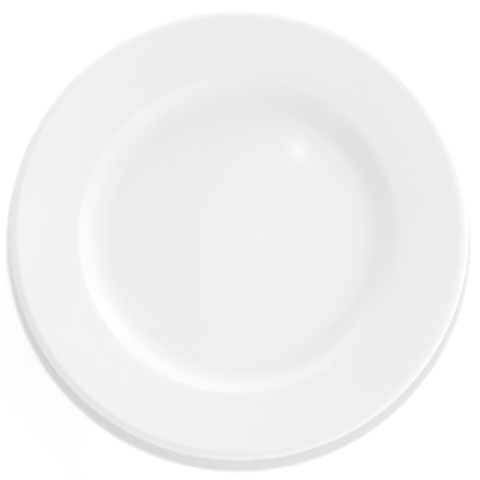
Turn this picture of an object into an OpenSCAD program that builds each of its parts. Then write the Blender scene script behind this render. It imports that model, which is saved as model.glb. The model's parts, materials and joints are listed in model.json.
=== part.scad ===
// Rimmed starter plate in white glazed porcelain.
// One pressed body with a wide rim, a shallow well and a foot ring, under a glaze that stops short of the
// foot ring's standing face. The plate lies on its foot ring, centred on the Z axis. All sizes are in mm.

/* [Rim] */
// Diameter over the glazed lip
plate_d = 230; // [215:1:250]
// Diameter of the shoulder, where the rim breaks down into the well
shoulder_d = 161; // [158:1:170]
// Rise of the rim above level, in degrees
rim_slope = 13; // [8:0.5:16]
// Thickness of the rim and of the well's wall
wall_t = 4.4; // [4.3:0.1:5.4]

/* [Lip] */
// Radius of the edge round the outside of the lip
lip_edge = 1.3; // [1:0.1:1.3]
// Radius of the roll over the top of the lip
lip_roll = 4.5; // [2:0.5:4.5]
// Slope at which the roll comes down to the edge, in degrees
roll_slope = 45; // [40:1:48]

/* [Well] */
// Depth of the well's floor below the shoulder
well_depth = 8.3; // [6:0.1:10]
// Slope of the well's wall, in degrees
wall_slope = 41; // [38:1:52]
// Radius over the shoulder
shoulder_round = 4; // [1:0.5:5]
// Radius that blends the well's wall into its floor
well_blend = 14; // [6:0.5:16]
// Thickness of the well's floor
floor_t = 4.8; // [4.2:0.1:6]

/* [Back] */
// Radius round the back of the well
back_round = 12; // [6:0.5:18]
// Radius in the hollow between the back of the well and the underside of the rim
back_hollow = 8; // [2:0.5:12]

/* [Foot ring] */
// Diameter of the foot ring, at the middle of its standing face
foot_d = 122; // [108:1:124]
// Width of the foot ring at its standing face, before its edges are rounded
foot_w = 4; // [3:0.1:5]
// Height of the foot ring, which is the depth of the recess inside it
foot_h = 2.8; // [2.4:0.1:3.6]
// How much each side of the foot ring leans out towards its root
foot_taper = 1.2; // [0.6:0.1:1.6]
// Radius at the edges of the standing face
foot_edge = 0.7; // [0.3:0.1:0.9]
// Radius at the root of the foot ring
foot_root = 1.2; // [0.4:0.1:1.4]

/* [Glaze] */
// Thickness of the glaze
glaze_t = 0.25; // [0.15:0.05:0.4]
// Height above the standing face at which the glaze stops
glaze_line = 1.1; // [0.8:0.1:1.3]

/* [Hidden] */
$fn = 180;

// Largest turn, in degrees, between two points of a rounded corner
arc_step = 4.5;

plate_r = plate_d / 2;
shoulder_r = shoulder_d / 2;
foot_in = (foot_d - foot_w) / 2;
foot_out = (foot_d + foot_w) / 2;

// Levels: the standing face is at 0, and its bare edges are drawn one glaze thickness lower
bare_z = -glaze_t;
floor_z = foot_h + floor_t;
shoulder_z = floor_z + well_depth;

// Radius at which the well's wall, drawn straight, would meet the floor, and its back the recess level
wall_r = shoulder_r - well_depth / tan(wall_slope);
back_r = shoulder_r + wall_t / sin(wall_slope) - (shoulder_z - foot_h) / tan(wall_slope);

// How far outside the shoulder the back of the wall meets the underside of the rim
hollow_w = wall_t * (1 / sin(wall_slope) - 1 / (cos(rim_slope) * tan(wall_slope)))
    / (1 - tan(rim_slope) / tan(wall_slope));

// Radius of the lip's round edge about the axis, at the centre of its arc
edge_r = plate_r - lip_edge;

// Radius at which the underside of the rim and the roll, drawn straight, would meet outside the lip
tip_r = edge_r + lip_edge * (cos(rim_slope) + cos(roll_slope)) / sin(rim_slope + roll_slope);

// Radius at which the roll and the rim's face, drawn straight, would meet over the lip
crest_r = edge_r + (lip_edge / cos(roll_slope) - (wall_t - lip_edge) / cos(rim_slope))
    / (tan(roll_slope) + tan(rim_slope));

// Height of the rim's face and of its underside at a radius
function rim_top(r) = shoulder_z + (r - shoulder_r) * tan(rim_slope);
function rim_under(r) = rim_top(r) - wall_t / cos(rim_slope);

// Corners of the glazed cross-section as [radius, height, rounding], from the recess out to the lip and back
// across the face to the well's floor
corners = [
    [foot_in - foot_taper, foot_h, foot_root],
    [foot_in, bare_z, foot_edge],
    [foot_out, bare_z, foot_edge],
    [foot_out + foot_taper, foot_h, foot_root],
    [back_r, foot_h, back_round],
    [shoulder_r + hollow_w, rim_under(shoulder_r + hollow_w), back_hollow],
    [tip_r, rim_under(tip_r), lip_edge],
    [crest_r, rim_top(crest_r), lip_roll],
    [shoulder_r, shoulder_z, shoulder_round],
    [wall_r, floor_z, well_blend]
];
recess_centre = [0, foot_h, 0];
floor_centre = [0, floor_z, 0];
path = concat([recess_centre], corners, [floor_centre]);

function flat(p) = [p.x, p.y];
function unit(v) = v / norm(v);
function heading(v) = atan2(v.y, v.x);
function turn(u, v) = sign(u.x * v.y - u.y * v.x);

// Points round one corner of the path, on an arc that touches both its sides. The arc keeps its centre as the
// outline moves inwards, so a convex corner gets tighter and a hollow one gets wider.
function rounded(before, corner, after, inset) =
    let (
        arriving = unit(flat(corner) - flat(before)),
        leaving = unit(flat(after) - flat(corner)),
        side = turn(arriving, leaving),
        bend = acos(arriving * leaving),
        centre = flat(corner) + unit(leaving - arriving) * corner.z / cos(bend / 2),
        radius = corner.z - side * inset,
        first = heading(arriving) - 90 * side,
        steps = ceil(bend / arc_step)
    )
    [for (i = [0:steps])
        let (angle = first + side * bend * i / steps)
        centre + radius * [cos(angle), sin(angle)]];

// Half cross-section of the plate, taken in from the glazed surface by an even thickness
function outline(inset) = concat(
    [[0, foot_h + inset]],
    [for (i = [1:len(corners)])
        for (p = rounded(path[i - 1], path[i], path[i + 1], inset)) p],
    [[0, floor_z - inset]]
);

// Half cross-section of all the glaze, cut off square at the glaze line
module glaze_section() {
    difference() {
        polygon(outline(0));
        polygon(outline(glaze_t));
        translate([0, bare_z - glaze_t])
            square([plate_r, glaze_line - bare_z + glaze_t]);
    }
}

// Part of the cross-section that belongs to the recess inside the foot ring
module recess_zone() {
    square([foot_d / 2, foot_h + floor_t / 2]);
}

module porcelain_body() {
    color("#e9e6df")
        rotate_extrude()
            polygon(outline(glaze_t));
}

module glaze_coat() {
    color("#f7f7f5")
        rotate_extrude()
            difference() {
                glaze_section();
                recess_zone();
            }
}

module recess_glaze() {
    color("#f3f3f1")
        rotate_extrude()
            intersection() {
                glaze_section();
                recess_zone();
            }
}

porcelain_body();
glaze_coat();
recess_glaze();
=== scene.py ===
"""Looks of a white glazed starter plate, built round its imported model, with a plain studio to show it in.

The plate is a porcelain body under two coats of glaze: one over the face, the lip and the back, and one
inside the foot ring. Each piece is turned about Z from a half section, which is drawn in the XZ plane with
straight stretches and arcs. All lengths are in metres.
"""

import json
import logging
import math
from dataclasses import dataclass, replace
from enum import Enum
from typing import Any, Mapping, Sequence

import bmesh
import bpy
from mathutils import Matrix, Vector


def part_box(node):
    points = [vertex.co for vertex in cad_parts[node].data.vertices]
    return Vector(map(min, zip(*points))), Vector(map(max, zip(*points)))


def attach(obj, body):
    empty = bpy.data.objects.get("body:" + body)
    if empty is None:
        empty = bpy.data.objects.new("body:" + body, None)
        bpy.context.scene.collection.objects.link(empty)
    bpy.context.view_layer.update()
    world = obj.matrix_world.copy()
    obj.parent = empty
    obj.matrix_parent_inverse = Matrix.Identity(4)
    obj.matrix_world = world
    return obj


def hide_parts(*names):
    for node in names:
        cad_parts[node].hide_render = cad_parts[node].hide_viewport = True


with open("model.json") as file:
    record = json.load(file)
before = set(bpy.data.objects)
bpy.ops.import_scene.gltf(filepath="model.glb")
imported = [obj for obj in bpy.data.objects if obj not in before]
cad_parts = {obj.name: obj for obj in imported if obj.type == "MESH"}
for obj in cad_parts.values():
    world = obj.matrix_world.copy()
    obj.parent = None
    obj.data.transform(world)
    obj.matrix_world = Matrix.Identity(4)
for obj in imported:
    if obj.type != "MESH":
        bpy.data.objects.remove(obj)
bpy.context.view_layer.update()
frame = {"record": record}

MM = 0.001
FULL_TURN_DEGREES = 360.0
ROOT_BODY = "root"
Colour = tuple[float, float, float]

log = logging.getLogger("starter_plate")


class CadNode(Enum):
    """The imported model's nodes, each of which a dressed piece stands for."""

    BODY = "porcelain_body"
    COAT = "glaze_coat"
    RECESS = "recess_glaze"


class Slot(Enum):
    """The record's material slots."""

    BISQUE = "bare_porcelain"
    GLAZE = "white_glaze"


class Mount(Enum):
    """The record's mounts that the plate's section is measured from."""

    FOOT = "foot_ring"
    FLOOR = "well_floor"

    @property
    def place(self) -> Vector:
        """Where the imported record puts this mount."""
        mounts = frame["record"]["mounts"]
        return next(Vector(mount["pos_m"]) for mount in mounts if mount["name"] == self.value)


class Shade:
    """A shader socket that takes part in Python arithmetic, one Math node for each operator."""

    def __init__(self, graph: "ShaderGraph", socket: bpy.types.NodeSocket) -> None:
        """Wraps a node's output socket."""
        self.graph = graph
        self.socket = socket

    def _math(self, operation: str, first: Any, second: Any) -> "Shade":
        """Adds a Math node for two terms."""
        return self.graph.node("ShaderNodeMath", {"operation": operation}, {0: first, 1: second})

    def __add__(self, other: Any) -> "Shade":
        """Sum of two values."""
        return self._math("ADD", self, other)

    def __radd__(self, other: Any) -> "Shade":
        """Sum with a number on the left."""
        return self._math("ADD", other, self)

    def __rsub__(self, other: Any) -> "Shade":
        """Difference with a number on the left."""
        return self._math("SUBTRACT", other, self)

    def __mul__(self, other: Any) -> "Shade":
        """Product of two values."""
        return self._math("MULTIPLY", self, other)

    def __rmul__(self, other: Any) -> "Shade":
        """Product with a number on the left."""
        return self._math("MULTIPLY", other, self)

    def __pow__(self, other: Any) -> "Shade":
        """Power of a value."""
        return self._math("POWER", self, other)


class ShaderGraph:
    """The node tree of a material or a world, emptied and ready to be filled."""

    # Numbers of a colour mix's sockets
    MIX_FACTOR, MIX_FIRST, MIX_SECOND, MIX_RESULT = 0, 6, 7, 2
    # Share of a speck's radius that is full strength
    SPECK_CORE = 0.5

    def __init__(self, owner: bpy.types.Material | bpy.types.World) -> None:
        """Starts an empty node tree.

        Args:
            owner: The material or world whose nodes these are.
        """
        owner.use_nodes = True
        self.tree = owner.node_tree
        self.tree.nodes.clear()

    def node(
        self,
        kind: str,
        settings: Mapping[str, Any] | None = None,
        sockets: Mapping[str | int, Any] | None = None,
        output: str | int = 0,
    ) -> Shade | None:
        """Adds one node.

        Args:
            kind: The node's type.
            settings: The node's own properties, which are set before its sockets.
            sockets: A value, or the shade to link, for each input by name or number.
            output: The output to hand back, by name or number.

        Returns:
            The chosen output, or nothing for a node that ends the tree.
        """
        made = self.tree.nodes.new(kind)
        for name, value in (settings or {}).items():
            setattr(made, name, value)
        for key, value in (sockets or {}).items():
            if isinstance(value, Shade):
                self.tree.links.new(value.socket, made.inputs[key])
            else:
                made.inputs[key].default_value = value
        return Shade(self, made.outputs[output]) if len(made.outputs) else None

    def blend(self, factor: Any, first: Any, second: Any) -> Shade:
        """Mixes two colours.

        Args:
            factor: Share of the second colour, from 0 to 1.
            first: Colour, or shade of one, at 0.
            second: Colour, or shade of one, at 1.

        Returns:
            The mixed colour.
        """
        ends = [(*colour, 1.0) if isinstance(colour, tuple) else colour for colour in (first, second)]
        sockets = {self.MIX_FACTOR: factor, self.MIX_FIRST: ends[0], self.MIX_SECOND: ends[1]}
        return self.node("ShaderNodeMix", {"data_type": "RGBA"}, sockets, self.MIX_RESULT)

    def rise(self, value: Shade, low: float, high: float) -> Shade:
        """Goes smoothly from 0 at one value to 1 at another.

        Args:
            value: The value that is looked at.
            low: Where the result is 0.
            high: Where the result is 1.

        Returns:
            The smooth step.
        """
        sockets = {"Value": value, "From Min": low, "From Max": high}
        return self.node("ShaderNodeMapRange", {"interpolation_type": "SMOOTHSTEP"}, sockets)

    def axis_distance(self) -> Shade:
        """Measures how far the surface is from the plate's axis."""
        place = self.node("ShaderNodeTexCoord", None, None, "Object")
        x, y = (self.node("ShaderNodeSeparateXYZ", None, {"Vector": place}, axis) for axis in "XY")
        return (x * x + y * y) ** 0.5

    def noise(self, place: Shade, grain: float, detail: float = 2.0) -> Shade:
        """Makes a cloudy value between 0 and 1.

        Args:
            place: Coordinates of the surface.
            grain: Size of the clouds.
            detail: How many finer layers there are.

        Returns:
            The cloudy value.
        """
        sockets = {"Vector": place, "Scale": 1.0 / grain, "Detail": detail}
        return self.node("ShaderNodeTexNoise", {"noise_dimensions": "3D"}, sockets)

    def specks(self, place: Shade, spacing: float, size: float, share: float) -> Shade:
        """Makes a mask of small round specks, scattered over some of the cells of a grid.

        Args:
            place: Coordinates of the surface.
            spacing: Usual distance between cells.
            size: Radius of a speck.
            share: Share of the cells that hold a speck.

        Returns:
            A mask that is 1 in a speck.
        """
        sockets = {"Vector": place, "Scale": 1.0 / spacing}
        settings = {"feature": "F1", "voronoi_dimensions": "3D"}
        reach = self.node("ShaderNodeTexVoronoi", settings, sockets, "Distance")
        tint = self.node("ShaderNodeTexVoronoi", settings, sockets, "Color")
        draw = self.node("ShaderNodeSeparateColor", None, {"Color": tint}, "Red")
        held = self.node("ShaderNodeMath", {"operation": "LESS_THAN"}, {0: draw, 1: share})
        return held * (1.0 - self.rise(reach, self.SPECK_CORE * size / spacing, size / spacing))

    def bump(self, height: Shade, depth: float, under: Shade | None = None) -> Shade:
        """Bends the surface's normal by a height.

        Args:
            height: The height, from 0 to 1.
            depth: How deep a height of 1 is.
            under: A normal that is already bent.

        Returns:
            The bent normal.
        """
        sockets = {"Height": height, "Distance": depth, "Strength": 1.0}
        if under is not None:
            sockets["Normal"] = under
        return self.node("ShaderNodeBump", None, sockets)

    def surface(self, sockets: Mapping[str, Any]) -> None:
        """Ends the tree in a principled surface.

        Args:
            sockets: A value, or the shade to link, for each of its inputs.
        """
        shader = self.node("ShaderNodeBsdfPrincipled", None, sockets)
        self.node("ShaderNodeOutputMaterial", None, {"Surface": shader})

    def seen(self) -> Shade:
        """Marks the rays that show a backdrop: straight from the camera, mirrored or through glass."""
        rays = [self.node("ShaderNodeLightPath", None, None, name)
                for name in ("Is Camera Ray", "Is Glossy Ray", "Is Transmission Ray")]
        return rays[0] + rays[1] + rays[2]


@dataclass(frozen=True)
class Corner:
    """A corner of the half section, where two straight sides meet, and the radius that rounds it."""

    r: float
    z: float
    rounding: float = 0.0

    @property
    def place(self) -> Vector:
        """The corner as a point of the half section."""
        return Vector((self.r, self.z))


@dataclass(frozen=True)
class PlateSection:
    """Sizes of the glazed plate's half section, from the recess out to the lip and back to the floor."""

    plate_r: float
    foot_mid: float
    floor_z: float
    shoulder_r: float = 80.5 * MM
    well_depth: float = 8.3 * MM
    rim_slope: float = math.radians(13)
    wall_slope: float = math.radians(41)
    roll_slope: float = math.radians(45)
    wall_t: float = 4.4 * MM
    lip_edge: float = 1.3 * MM
    lip_roll: float = 4.5 * MM
    shoulder_round: float = 4 * MM
    well_blend: float = 14 * MM
    back_round: float = 12 * MM
    back_hollow: float = 8 * MM
    foot_w: float = 4 * MM
    foot_h: float = 2.8 * MM
    foot_taper: float = 1.2 * MM
    foot_edge: float = 0.7 * MM
    foot_root: float = 1.2 * MM
    glaze_t: float = 0.25 * MM
    glaze_line: float = 1.1 * MM

    @classmethod
    def from_frame(cls) -> "PlateSection":
        """Measures the plate's radius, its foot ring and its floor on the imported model."""
        coat_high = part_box(CadNode.COAT.value)[1]
        return cls(plate_r=coat_high.x, foot_mid=Mount.FOOT.place.x, floor_z=Mount.FLOOR.place.z)

    @property
    def shoulder_z(self) -> float:
        """Height of the shoulder, where the rim breaks down into the well."""
        return self.floor_z + self.well_depth

    @property
    def wall_r(self) -> float:
        """Radius at which the well's wall, drawn straight, meets the floor."""
        return self.shoulder_r - self.well_depth / math.tan(self.wall_slope)

    @property
    def lip_z(self) -> float:
        """Height of the lip's edge, at the plate's full radius."""
        return self.rim_under(self.plate_r - self.lip_edge) + self.lip_edge / math.cos(self.rim_slope)

    @property
    def crest_r(self) -> float:
        """Radius at which the roll of the lip and the rim's face, drawn straight, meet."""
        slopes = math.tan(self.roll_slope) + math.tan(self.rim_slope)
        drop = (self.wall_t - self.lip_edge) / math.cos(self.rim_slope)
        return self.plate_r - self.lip_edge + (self.lip_edge / math.cos(self.roll_slope) - drop) / slopes

    def rim_top(self, r: float) -> float:
        """Height of the rim's face at a radius."""
        return self.shoulder_z + (r - self.shoulder_r) * math.tan(self.rim_slope)

    def rim_under(self, r: float) -> float:
        """Height of the rim's underside at a radius."""
        return self.rim_top(r) - self.wall_t / math.cos(self.rim_slope)

    @property
    def recess_centre(self) -> Corner:
        """Middle of the recess inside the foot ring."""
        return Corner(0.0, self.foot_h)

    @property
    def floor_centre(self) -> Corner:
        """Middle of the well's floor."""
        return Corner(0.0, self.floor_z)

    @property
    def foot_inside(self) -> list[Corner]:
        """Root and edge of the foot ring's inner side, downwards."""
        inner = self.foot_mid - self.foot_w / 2
        return [Corner(inner - self.foot_taper, self.foot_h, self.foot_root),
                Corner(inner, -self.glaze_t, self.foot_edge)]

    @property
    def foot_outside(self) -> list[Corner]:
        """Edge and root of the foot ring's outer side, upwards."""
        outer = self.foot_mid + self.foot_w / 2
        return [Corner(outer, -self.glaze_t, self.foot_edge),
                Corner(outer + self.foot_taper, self.foot_h, self.foot_root)]

    @property
    def back(self) -> list[Corner]:
        """Corners of the back, from the foot ring out to the lip."""
        rim, wall, roll = self.rim_slope, self.wall_slope, self.roll_slope
        back_r = self.shoulder_r + self.wall_t / math.sin(wall)
        back_r -= (self.shoulder_z - self.foot_h) / math.tan(wall)
        hollow = self.wall_t * (1 / math.sin(wall) - 1 / (math.cos(rim) * math.tan(wall)))
        hollow_r = self.shoulder_r + hollow / (1 - math.tan(rim) / math.tan(wall))
        reach = self.lip_edge * (math.cos(rim) + math.cos(roll)) / math.sin(rim + roll)
        tip_r = self.plate_r - self.lip_edge + reach
        return [Corner(back_r, self.foot_h, self.back_round),
                Corner(hollow_r, self.rim_under(hollow_r), self.back_hollow),
                Corner(tip_r, self.rim_under(tip_r), self.lip_edge)]

    @property
    def face(self) -> list[Corner]:
        """Corners of the face, from the lip in to the well's floor."""
        return [Corner(self.crest_r, self.rim_top(self.crest_r), self.lip_roll),
                Corner(self.shoulder_r, self.shoulder_z, self.shoulder_round),
                Corner(self.wall_r, self.floor_z, self.well_blend)]


class SectionPen:
    """Draws a half section as one chain of edges, then turns it into a closed piece about Z."""

    # Largest turn between two points of an arc, and the fewest steps in one
    ARC_STEP = math.radians(3)
    ARC_LEAST_STEPS = 2
    # Number of steps in a full turn about Z
    TURN_STEPS = 240
    # How far from the ends of a straight stretch its held points lie, and the longest stretch without them
    HOLD = 0.4 * MM
    UNHELD = 4 * HOLD
    # Points closer than this are one point
    MERGE = 0.0001 * MM
    ORIGIN = (0.0, 0.0, 0.0)
    # A spin that goes round without moving along its axis
    STILL = (0.0, 0.0, 0.0)

    def __init__(self, r: float, z: float) -> None:
        """Puts the pen down at a radius and a height."""
        self.mesh = bmesh.new()
        self.tip = self.mesh.verts.new((r, 0.0, z))

    def _step(self, point: Vector) -> None:
        """Draws one edge to a point."""
        made = bmesh.ops.extrude_vert_indiv(self.mesh, verts=[self.tip])
        self.tip = made["verts"][0]
        self.tip.co = (point.x, 0.0, point.y)

    def line(self, r: float, z: float) -> None:
        """Draws a straight stretch, with a point held near each end so that it shades flat.

        Args:
            r: Radius of its far end.
            z: Height of its far end.
        """
        start, end = Vector((self.tip.co.x, self.tip.co.z)), Vector((r, z))
        run = end - start
        if run.length > self.UNHELD:
            hold = run.normalized() * self.HOLD
            self._step(start + hold)
            self._step(end - hold)
        self._step(end)

    def arc(self, centre: Vector, turn: float) -> None:
        """Draws a round stretch.

        Args:
            centre: Centre of the arc in the half section.
            turn: Angle that it goes through, positive against the clock.
        """
        steps = max(self.ARC_LEAST_STEPS, math.ceil(abs(turn) / self.ARC_STEP))
        made = bmesh.ops.spin(
            self.mesh, geom=[self.tip], cent=(centre.x, 0.0, centre.y), axis=(0.0, -1.0, 0.0),
            dvec=self.STILL, angle=turn, steps=steps,
            use_merge=False, use_normal_flip=False, use_duplicate=False)
        self.tip = next(part for part in made["geom_last"] if isinstance(part, bmesh.types.BMVert))

    def follow(self, path: Sequence[Corner], inset: float) -> None:
        """Draws the rounds of a path's inner corners and the straight stretches up to them.

        Args:
            path: Corners in order. The first and the last only give a direction.
            inset: How far to the left of the path the line runs. A round keeps its centre.
        """
        for before, corner, after in zip(path, path[1:], path[2:]):
            arriving = (corner.place - before.place).normalized()
            leaving = (after.place - corner.place).normalized()
            turn = math.atan2(arriving.cross(leaving), arriving.dot(leaving))
            side = math.copysign(1.0, turn)
            centre = corner.place + (leaving - arriving).normalized() * corner.rounding / math.cos(turn / 2)
            right = Vector((arriving.y, -arriving.x))
            first = centre + right * (side * corner.rounding - inset)
            self.line(first.x, first.y)
            self.arc(centre, turn)

    def turned(self) -> bmesh.types.BMesh:
        """Turns the section about Z.

        Returns:
            The closed piece, with its faces pointing outwards.
        """
        section = self.mesh.verts[:] + self.mesh.edges[:]
        bmesh.ops.spin(
            self.mesh, geom=section, cent=self.ORIGIN, axis=(0.0, 0.0, 1.0), dvec=self.STILL,
            angle=2 * math.pi, steps=self.TURN_STEPS,
            use_merge=True, use_normal_flip=False, use_duplicate=False)
        bmesh.ops.remove_doubles(self.mesh, verts=self.mesh.verts[:], dist=self.MERGE)
        bmesh.ops.recalc_face_normals(self.mesh, faces=self.mesh.faces[:])
        for face in self.mesh.faces:
            face.smooth = True
        return self.mesh


@dataclass(frozen=True)
class GlazeBead:
    """The rounded end of a coat of glaze, on one sloping side of the foot ring."""

    section: PlateSection
    upper: Corner
    lower: Corner

    @property
    def along(self) -> Vector:
        """Direction up the side of the foot ring."""
        return (self.upper.place - self.lower.place).normalized()

    @property
    def inwards(self) -> Vector:
        """Direction from the glaze's surface into the porcelain."""
        towards_ring = math.copysign(1.0, self.section.foot_mid - self.lower.r)
        return Vector((self.along.y, -self.along.x)) * towards_ring

    @property
    def outer(self) -> Vector:
        """Where the glaze's surface ends and the bead starts."""
        height = self.section.glaze_line + self.section.glaze_t / 2
        return self.lower.place + self.along * ((height - self.lower.z) / self.along.y)

    @property
    def inner(self) -> Vector:
        """Where the bead meets the porcelain."""
        return self.outer + self.inwards * self.section.glaze_t

    @property
    def centre(self) -> Vector:
        """Middle of the bead."""
        return (self.outer + self.inner) / 2


@dataclass(frozen=True)
class GlazeFinish:
    """Clear gloss glaze on white porcelain, with slow changes of tone and a faintly wavy surface."""

    white: Colour = (0.872, 0.872, 0.870)
    soft_white: Colour = (0.864, 0.865, 0.864)
    thin_white: Colour = (0.876, 0.874, 0.868)
    # Tone of the ring beside the wall's foot: partly gathered glaze, partly painted light that lifts the
    # shade there
    pooled_and_painted_light_white: Colour = (0.889, 0.891, 0.891)
    fleck: Colour = (0.60, 0.56, 0.50)
    cloud: float = 60 * MM
    gloss: float = 0.04
    gloss_change: float = 0.04
    gloss_grain: float = 25 * MM
    wave: float = 22 * MM
    wave_depth: float = 0.012 * MM
    peel: float = 1.6 * MM
    peel_depth: float = 0.0006 * MM
    fleck_spacing: float = 9 * MM
    fleck_r: float = 0.13 * MM
    fleck_share: float = 0.06
    # Width of the band at the lip where the glaze is thin, and how far its tone changes there
    lip_w: float = 4 * MM
    lip_thinning: float = 0.6
    # A ring of the floor inside the wall's foot is lighter, partly glaze that gathers there and partly
    # painted light that lifts the shade beside the wall: how far inside the wall's foot it is lightest, and
    # how far it spreads inwards and outwards
    pool_and_light_in: float = 6 * MM
    pool_and_light_inner_w: float = 18 * MM
    pool_and_light_outer_w: float = 10 * MM
    wave_detail: float = 1.0
    ior: float = 1.5

    def make(self, name: str, section: PlateSection) -> bpy.types.Material:
        """Makes the glaze.

        Args:
            name: Name of the material.
            section: The plate's sizes, which say where the glaze thins, and where it gathers and a ring of
                painted light lifts the floor.

        Returns:
            The material.
        """
        material = bpy.data.materials.new(name)
        graph = ShaderGraph(material)
        place = graph.node("ShaderNodeTexCoord", None, None, "Object")
        radius = graph.axis_distance()
        tone = graph.blend(graph.noise(place, self.cloud), self.white, self.soft_white)
        lip = graph.rise(radius, section.plate_r - self.lip_w, section.plate_r)
        tone = graph.blend(lip * self.lip_thinning, tone, self.thin_white)
        # Painted light: a ring of the floor inside the wall's foot is made lighter, partly for gathered glaze
        # and partly to lift the shade that the wall casts on the floor
        pool_and_light_r = section.wall_r - self.pool_and_light_in
        pool_and_light_ring = graph.rise(radius, pool_and_light_r - self.pool_and_light_inner_w, pool_and_light_r)
        pool_and_light_ring = pool_and_light_ring * (1.0 - graph.rise(radius, pool_and_light_r, pool_and_light_r + self.pool_and_light_outer_w))
        tone = graph.blend(pool_and_light_ring, tone, self.pooled_and_painted_light_white)
        flecks = graph.specks(place, self.fleck_spacing, self.fleck_r, self.fleck_share)
        tone = graph.blend(flecks, tone, self.fleck)
        waves = graph.bump(graph.noise(place, self.wave, self.wave_detail), self.wave_depth)
        graph.surface({
            "Base Color": tone,
            "Roughness": self.gloss + self.gloss_change * graph.noise(place, self.gloss_grain),
            "Normal": graph.bump(graph.noise(place, self.peel), self.peel_depth, waves),
            "IOR": self.ior,
        })
        return material


@dataclass(frozen=True)
class BisqueFinish:
    """Bare fired porcelain: matt, fine-grained and slightly grey where it stands."""

    pale: Colour = (0.80, 0.785, 0.75)
    dark: Colour = (0.70, 0.685, 0.65)
    scuff: Colour = (0.55, 0.54, 0.52)
    mottle: float = 6 * MM
    grain: float = 0.35 * MM
    grain_depth: float = 0.012 * MM
    scuff_grain: float = 3 * MM
    scuff_height: float = 0.12 * MM
    scuff_share: float = 0.5
    matt: float = 0.72
    matt_change: float = 0.2
    grain_detail: float = 3.0
    mottle_detail: float = 4.0
    ior: float = 1.5

    def make(self, name: str) -> bpy.types.Material:
        """Makes the bare porcelain.

        Args:
            name: Name of the material.

        Returns:
            The material.
        """
        material = bpy.data.materials.new(name)
        graph = ShaderGraph(material)
        place = graph.node("ShaderNodeTexCoord", None, None, "Object")
        height = graph.node("ShaderNodeSeparateXYZ", None, {"Vector": place}, "Z")
        grain = graph.noise(place, self.grain, self.grain_detail)
        mottle = graph.noise(place, self.mottle, self.mottle_detail)
        tone = graph.blend(mottle, self.pale, self.dark)
        scuffs = graph.noise(place, self.scuff_grain, self.mottle_detail)
        worn = (1.0 - graph.rise(height, 0.0, self.scuff_height)) * scuffs
        graph.surface({
            "Base Color": graph.blend(worn * self.scuff_share, tone, self.scuff),
            "Roughness": self.matt + self.matt_change * grain,
            "Normal": graph.bump(grain, self.grain_depth),
            "IOR": self.ior,
        })
        return material


@dataclass
class TurnedPiece:
    """A piece of the plate that is turned from the half section."""

    section: PlateSection
    name: str
    node: CadNode
    slot: Slot

    def outline(self) -> SectionPen:
        """Draws the piece's half section."""
        raise NotImplementedError

    def shape(self, mesh: bmesh.types.BMesh) -> None:
        """Works on the turned mesh before it is finished; a plain piece needs nothing more."""

    def build(self) -> bpy.types.Object:
        """Makes the piece's mesh and puts it in the place of its node.

        Returns:
            The piece, which rides on the plate's one body.
        """
        turned = self.outline().turned()
        self.shape(turned)
        mesh = bpy.data.meshes.new(self.name)
        turned.to_mesh(mesh)
        turned.free()
        piece = bpy.data.objects.new(self.name, mesh)
        bpy.context.scene.collection.objects.link(piece)
        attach(piece, ROOT_BODY)
        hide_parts(self.node.value)
        return piece

    def dress(self, piece: bpy.types.Object, finish: bpy.types.Material) -> None:
        """Gives the piece its finish.

        Args:
            piece: The piece that was built.
            finish: The material that covers it.
        """
        piece.data.materials.append(finish)
        log.info("%s: %d faces, finish %s", piece.name, len(piece.data.polygons), finish.name)


@dataclass
class PorcelainBody(TurnedPiece):
    """The pressed and fired body, one glaze thickness inside the glazed surface."""

    def outline(self) -> SectionPen:
        """Draws the body's half section, round from the recess to the floor.

        Returns:
            The pen, with the section drawn.
        """
        plate, inset = self.section, self.section.glaze_t
        path = [plate.recess_centre, *plate.foot_inside, *plate.foot_outside, *plate.back, *plate.face,
                plate.floor_centre]
        pen = SectionPen(0.0, plate.foot_h + inset)
        pen.follow(path, inset)
        pen.line(0.0, plate.floor_z - inset)
        return pen


@dataclass
class GlazePiece(TurnedPiece):
    """A coat of glaze that ends in a bead on the foot ring, along a line that wanders a little."""

    wander: float = 0.09 * MM
    wander_fade: float = 0.7 * MM
    wander_waves: tuple[int, ...] = (3, 7, 16)

    @property
    def bead(self) -> GlazeBead:
        """The rounded end of this coat."""
        raise NotImplementedError

    def shape(self, mesh: bmesh.types.BMesh) -> None:
        """Moves the end of the coat up and down the foot ring, by less further up.

        Args:
            mesh: The turned coat.
        """
        along, line = self.bead.along, self.section.glaze_line
        for vert in mesh.verts:
            share = 1.0 - (vert.co.z - line) / self.wander_fade
            if share <= 0.0:
                continue
            angle = math.atan2(vert.co.y, vert.co.x)
            # Each wave starts at an angle of its own, so that their crests don't line up.
            sway = sum(math.sin(count * angle + count * count) / count for count in self.wander_waves)
            move = self.wander * min(share, 1.0) * sway
            out = Vector((math.cos(angle), math.sin(angle), 0.0))
            vert.co += move * (along.x * out + Vector((0.0, 0.0, along.y)))


@dataclass
class GlazeCoat(GlazePiece):
    """The coat over the face, round the lip and down the back to the foot ring."""

    @property
    def bead(self) -> GlazeBead:
        """The coat's end on the outer side of the foot ring."""
        lower, upper = self.section.foot_outside
        return GlazeBead(self.section, upper, lower)

    def outline(self) -> SectionPen:
        """Draws the coat's half section: out under the surface, round the bead and back over it.

        Returns:
            The pen, with the section drawn.
        """
        plate, bead = self.section, self.bead
        path = [*plate.foot_outside, *plate.back, *plate.face, plate.floor_centre]
        pen = SectionPen(0.0, plate.floor_z - plate.glaze_t)
        pen.follow(path[::-1], -plate.glaze_t)
        pen.line(bead.inner.x, bead.inner.y)
        pen.arc(bead.centre, math.pi)
        pen.follow(path, 0.0)
        pen.line(0.0, plate.floor_z)
        return pen


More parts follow.
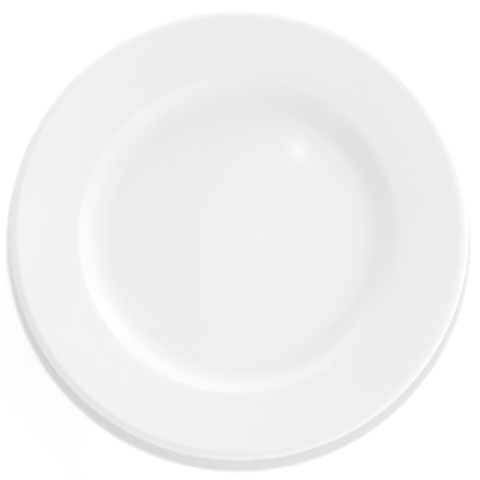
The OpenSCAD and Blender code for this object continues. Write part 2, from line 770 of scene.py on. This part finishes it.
@dataclass
class RecessGlaze(GlazePiece):
    """The coat inside the foot ring."""

    @property
    def bead(self) -> GlazeBead:
        """The coat's end on the inner side of the foot ring."""
        upper, lower = self.section.foot_inside
        return GlazeBead(self.section, upper, lower)

    def outline(self) -> SectionPen:
        """Draws the coat's half section: out over the recess, round the bead and back under the body.

        Returns:
            The pen, with the section drawn.
        """
        plate, bead = self.section, self.bead
        path = [plate.recess_centre, *plate.foot_inside]
        pen = SectionPen(0.0, plate.foot_h)
        pen.follow(path, 0.0)
        pen.line(bead.outer.x, bead.outer.y)
        pen.arc(bead.centre, math.pi)
        pen.follow(path[::-1], -plate.glaze_t)
        pen.line(0.0, plate.foot_h + plate.glaze_t)
        return pen


@dataclass(frozen=True)
class SoftLamp:
    """An oval lamp that faces the middle of the plate, mirrored in the glaze or without glare.

    Its azimuth and elevation are in degrees, its tallness is its height over its width, and its radiance is
    how bright it looks beside a white of 1.
    """

    name: str
    azimuth: float
    elevation: float
    distance: float
    width: float
    radiance: float
    tallness: float = 1.0
    glare: bool = True

    def build(self, aim: Vector) -> bpy.types.Object:
        """Hangs the lamp.

        Args:
            aim: The point that it faces.

        Returns:
            The lamp, which the camera doesn't see.
        """
        around, up = math.radians(self.azimuth), math.radians(self.elevation)
        away = Vector((math.cos(up) * math.cos(around), math.cos(up) * math.sin(around), math.sin(up)))
        light = bpy.data.lights.new(self.name, "AREA")
        light.shape = "ELLIPSE"
        light.size = self.width
        light.size_y = self.width * self.tallness
        area = math.pi * light.size * light.size_y / 4
        light.energy = self.radiance * math.pi * area
        lamp = bpy.data.objects.new(self.name, light)
        lamp.location = aim + away * self.distance
        lamp.rotation_euler = away.to_track_quat("Z", "Y").to_euler()
        lamp.visible_camera = False
        lamp.visible_glossy = self.glare
        bpy.context.scene.collection.objects.link(lamp)
        return lamp


@dataclass(frozen=True)
class PhotoView:
    """The camera, set from where the plate's outline lies in the photograph."""

    image_px: float = 480.0
    outline_x_px: float = 239.0
    outline_y_px: float = 234.4
    outline_half_px: float = 229.7
    elevation: float = math.radians(79.8)
    distance: float = 2.2
    sensor_mm: float = 36.0
    reach: float = 60.0

    def build(self, section: PlateSection) -> bpy.types.Object:
        """Sets up the camera in front of the plate, aimed at the middle of its lip.

        Args:
            section: The plate's sizes.

        Returns:
            The camera, which is made the scene's own.
        """
        away = Vector((0.0, -math.cos(self.elevation), math.sin(self.elevation)))
        data = bpy.data.cameras.new("photo_view")
        data.sensor_fit = "HORIZONTAL"
        data.sensor_width = self.sensor_mm
        data.lens = self.sensor_mm * self.outline_half_px / self.image_px * self.distance / section.plate_r
        # A circle seen at a slant has its outline's middle a little nearer the camera than its own centre.
        lean = section.plate_r * math.cos(self.elevation)
        sink = self.outline_half_px * self.distance * lean * math.sin(self.elevation)
        sink /= self.distance ** 2 - lean ** 2
        data.shift_x = (self.image_px / 2 - self.outline_x_px) / self.image_px
        data.shift_y = (self.outline_y_px - self.image_px / 2 - sink) / self.image_px
        data.clip_end = self.reach
        camera = bpy.data.objects.new("photo_view", data)
        camera.location = Vector((0.0, 0.0, section.lip_z)) + away * self.distance
        camera.rotation_euler = (math.pi / 2 - self.elevation, 0.0, 0.0)
        bpy.context.scene.collection.objects.link(camera)
        bpy.context.scene.camera = camera
        return camera


@dataclass(frozen=True)
class Studio:
    """A table top that is white round the plate and pale grey further off, and soft light all round.

    A lamp overhead and an even sky give most of the light. Low lamps on each side shape the rim and the well,
    and narrow upright ones stand evenly round the plate, so that its gloss shows from every side.
    """

    table_half: float = 3.0
    # Far from the plate the top is dark but glows pale, so that it throws little light back on the rim
    near_r: float = 0.19
    far_r: float = 0.6
    near_white: Colour = (0.95, 0.95, 0.95)
    far_grey: Colour = (0.06, 0.06, 0.06)
    near_glow: Colour = (0.14, 0.14, 0.14)
    far_glow: Colour = (0.56, 0.56, 0.56)
    unlit: Colour = (0.0, 0.0, 0.0)
    backdrop: float = 0.58
    sky: float = 0.334
    window_count: int = 8
    window: SoftLamp = SoftLamp(
        "window", azimuth=1.2, elevation=27.0, distance=1.0, width=0.045, radiance=0.7, tallness=14.0)
    lamps: tuple[SoftLamp, ...] = (
        SoftLamp("over", azimuth=90.0, elevation=88.0, distance=1.0, width=0.12, radiance=99.0, glare=False),
        SoftLamp("top", azimuth=47.3, elevation=78.8, distance=0.8155, width=0.273, radiance=0.5),
        SoftLamp("glint", azimuth=79.0, elevation=75.7, distance=0.877, width=0.007, radiance=11.0),
        SoftLamp("key", azimuth=30.0, elevation=13.0, distance=0.75, width=0.8, radiance=0.5, tallness=0.4),
        SoftLamp("right", azimuth=15.0, elevation=13.0, distance=0.75, width=0.8,
                 radiance=0.85, tallness=0.4, glare=False),
        SoftLamp("back", azimuth=90.0, elevation=13.0, distance=0.75, width=0.8,
                 radiance=4.1, tallness=0.4, glare=False),
        SoftLamp("left", azimuth=150.0, elevation=13.0, distance=0.75, width=0.8,
                 radiance=1.4, tallness=0.4, glare=False),
        SoftLamp("front_left", azimuth=240.0, elevation=18.0, distance=0.9, width=1.2,
                 radiance=0.75, tallness=0.4, glare=False),
        SoftLamp("front_low", azimuth=238.0, elevation=3.5, distance=0.9, width=0.7,
                 radiance=6.0, tallness=0.14, glare=False),
        SoftLamp("front_right", azimuth=330.0, elevation=18.0, distance=0.9, width=1.2,
                 radiance=2.4, tallness=0.4, glare=False),
    )

    def windows(self) -> list[SoftLamp]:
        """Spaces the upright lamps evenly round the plate.

        Returns:
            The lamps.
        """
        turn = FULL_TURN_DEGREES / self.window_count
        return [replace(self.window, name=f"window_{i}", azimuth=self.window.azimuth + turn * i)
                for i in range(self.window_count)]

    def build_table(self) -> bpy.types.Object:
        """Lays the table top that the plate stands on.

        Returns:
            The table top, which is part of the stage.
        """
        mesh = bpy.data.meshes.new("table_top")
        grid = bmesh.new()
        bmesh.ops.create_grid(grid, x_segments=1, y_segments=1, size=self.table_half)
        grid.to_mesh(mesh)
        grid.free()
        table = bpy.data.objects.new("table_top", mesh)
        bpy.context.scene.collection.objects.link(table)
        mesh.materials.append(self.table_finish())
        return table

    def table_finish(self) -> bpy.types.Material:
        """Makes a matt top that shows as white background round the plate and still takes its shadow.

        Returns:
            The material.
        """
        material = bpy.data.materials.new("table_white")
        graph = ShaderGraph(material)
        away = graph.rise(graph.axis_distance(), self.near_r, self.far_r)
        glow = graph.blend(away, self.near_glow, self.far_glow)
        graph.surface({
            "Base Color": graph.blend(away, self.near_white, self.far_grey),
            "Roughness": 1.0,
            "Specular IOR Level": 0.0,
            "Emission Color": graph.blend(graph.seen(), self.unlit, glow),
            "Emission Strength": 1.0,
        })
        return material

    def build_sky(self) -> bpy.types.World:
        """Surrounds the plate with even light, shown as pale grey.

        Returns:
            The world.
        """
        world = bpy.data.worlds.new("studio")
        graph = ShaderGraph(world)
        level = self.sky + (self.backdrop - self.sky) * graph.seen()
        sky = graph.node("ShaderNodeBackground", None, {"Color": (1.0, 1.0, 1.0, 1.0), "Strength": level})
        graph.node("ShaderNodeOutputWorld", None, {"Surface": sky})
        bpy.context.scene.world = world
        return world

    def build(self, section: PlateSection) -> None:
        """Sets up the table, the light and the camera.

        Args:
            section: The plate's sizes.
        """
        self.build_table()
        self.build_sky()
        aim = Vector((0.0, 0.0, section.floor_z))
        lamps = [*self.lamps, *self.windows()]
        for lamp in lamps:
            lamp.build(aim)
        PhotoView().build(section)
        bpy.context.scene.view_settings.view_transform = "Standard"
        log.info("studio: %d lamps", len(lamps))


def main() -> None:
    """Builds the plate's pieces, dresses them and sets up the studio."""
    logging.basicConfig(level=logging.INFO, format="%(name)s %(message)s")
    section = PlateSection.from_frame()
    glaze = GlazeFinish().make("white_glaze", section)
    bisque = BisqueFinish().make("bare_porcelain")
    body = PorcelainBody(section, "plate_body", CadNode.BODY, Slot.BISQUE)
    coat = GlazeCoat(section, "plate_glaze", CadNode.COAT, Slot.GLAZE)
    recess = RecessGlaze(section, "plate_recess_glaze", CadNode.RECESS, Slot.GLAZE)
    for part, finish in ((body, bisque), (coat, glaze), (recess, glaze)):
        part.dress(part.build(), finish)
    Studio().build(section)
    bpy.context.view_layer.update()


if __name__ == "__main__":
    main()
